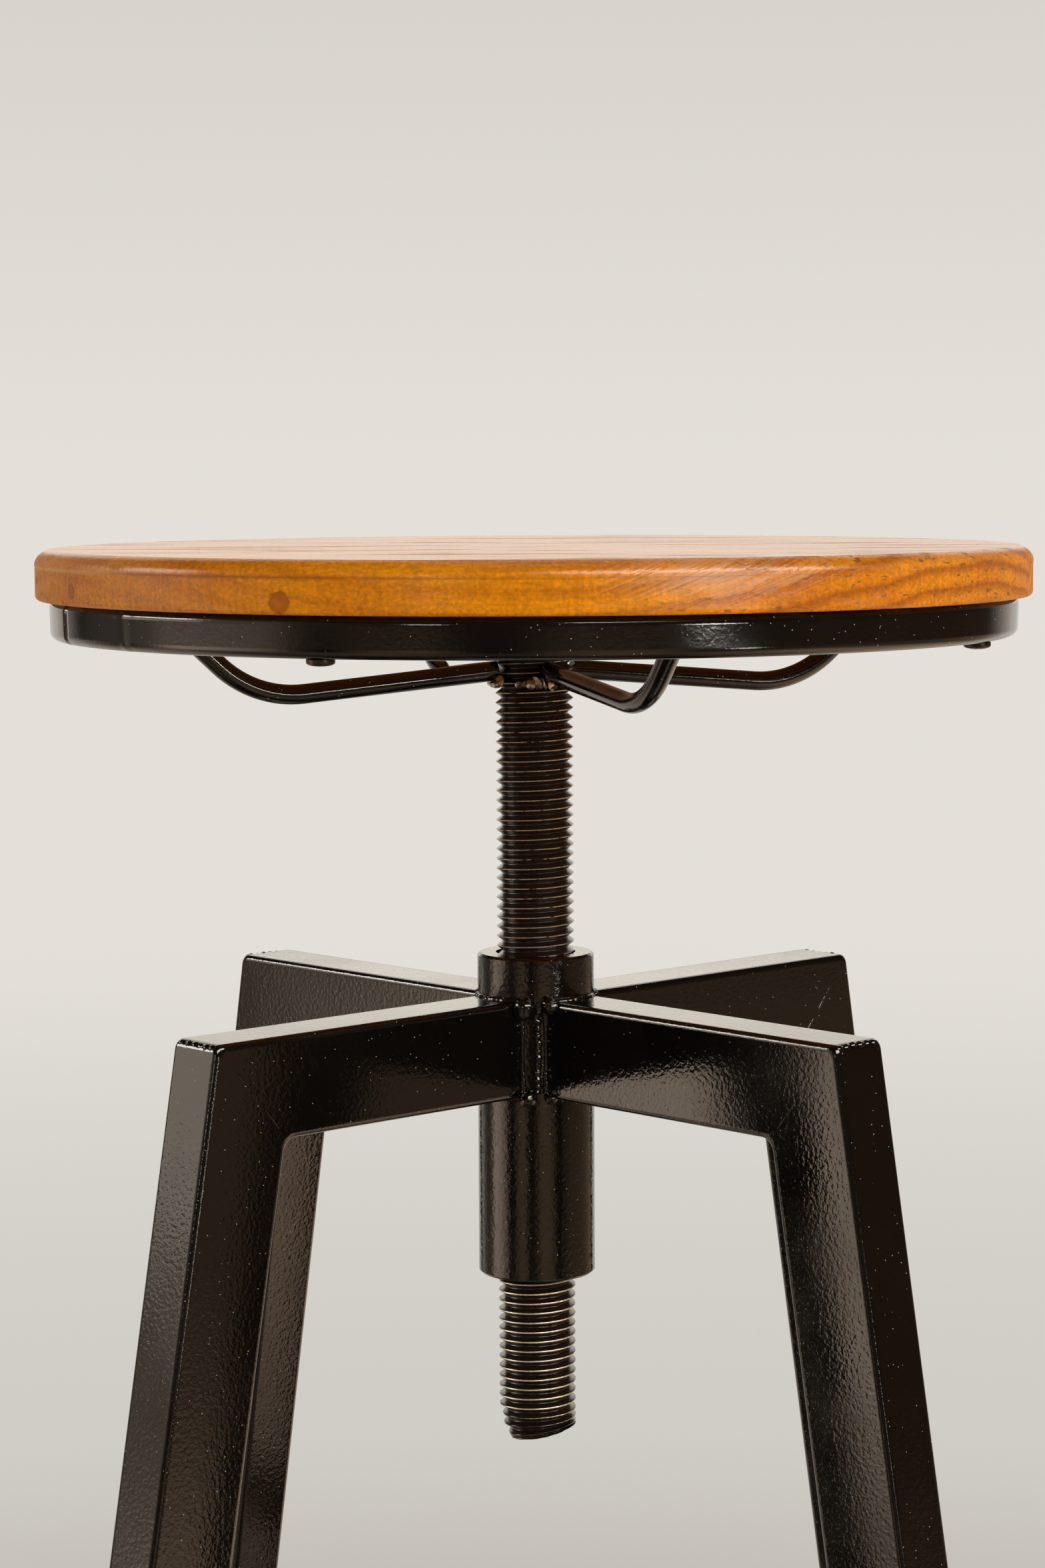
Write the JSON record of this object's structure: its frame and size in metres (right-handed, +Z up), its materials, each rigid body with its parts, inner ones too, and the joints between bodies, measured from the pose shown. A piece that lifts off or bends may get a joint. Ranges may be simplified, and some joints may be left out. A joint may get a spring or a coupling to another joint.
{
  "type": "swivel bar stool",
  "caption": "Bar stool with a round wooden seat on a threaded spindle that screws up and down through a hub on splayed rectangular-tube legs with footrest rails.",
  "frame": {"origin": "on the floor, under the spindle's axis", "axes": "+Z up along the spindle, -Y towards the front, legs on the diagonals of X and Y"},
  "size_m": [0.3424, 0.3424, 0.7],
  "materials": {
    "stained_wood": "satin varnish over honey stain",
    "black_coat": "gloss powder coat",
    "thread_steel": "blackened, bright on the worn crests",
    "screw_steel": "blackened",
    "black_plastic": "moulded"
  },
  "bodies": {
    "base": {"hub_sleeve": "black_coat", "arm_front_right": "black_coat", "arm_back_right": "black_coat", "arm_back_left": "black_coat", "arm_front_left": "black_coat", "leg_front_right": "black_coat", "leg_back_right": "black_coat", "leg_back_left": "black_coat", "leg_front_left": "black_coat", "foot_front_right": "black_plastic", "foot_back_right": "black_plastic", "foot_back_left": "black_plastic", "foot_front_left": "black_plastic", "rail_front": "black_coat", "rail_right": "black_coat", "rail_back": "black_coat", "rail_left": "black_coat"},
    "lift": {"spindle_cap": "black_plastic"},
    "seat": {"seat_stave_1": "stained_wood", "seat_stave_2": "stained_wood", "seat_stave_3": "stained_wood", "seat_stave_4": "stained_wood", "seat_stave_5": "stained_wood", "seat_ring": "black_coat", "strut_1": "black_coat", "strut_2": "black_coat", "strut_3": "black_coat", "strut_4": "black_coat", "spindle": "thread_steel", "seat_screws": "screw_steel"}
  },
  "joints": [
    {"name": "seat_lift", "type": "slide", "parent": "base", "child": "lift", "axis": [0, 0, 1], "range_m": [-0.0785, 0.0395]},
    {"name": "seat_turn", "type": "hinge", "parent": "lift", "child": "seat", "pos_m": [0, 0, 0.6], "axis": [0, 0, 1], "range_deg": [-9360, 4680]}
  ],
  "couplings": [
    {"joint": "seat_lift", "follows": "seat_turn", "m_per_rad": 0.00047746}
  ]
}
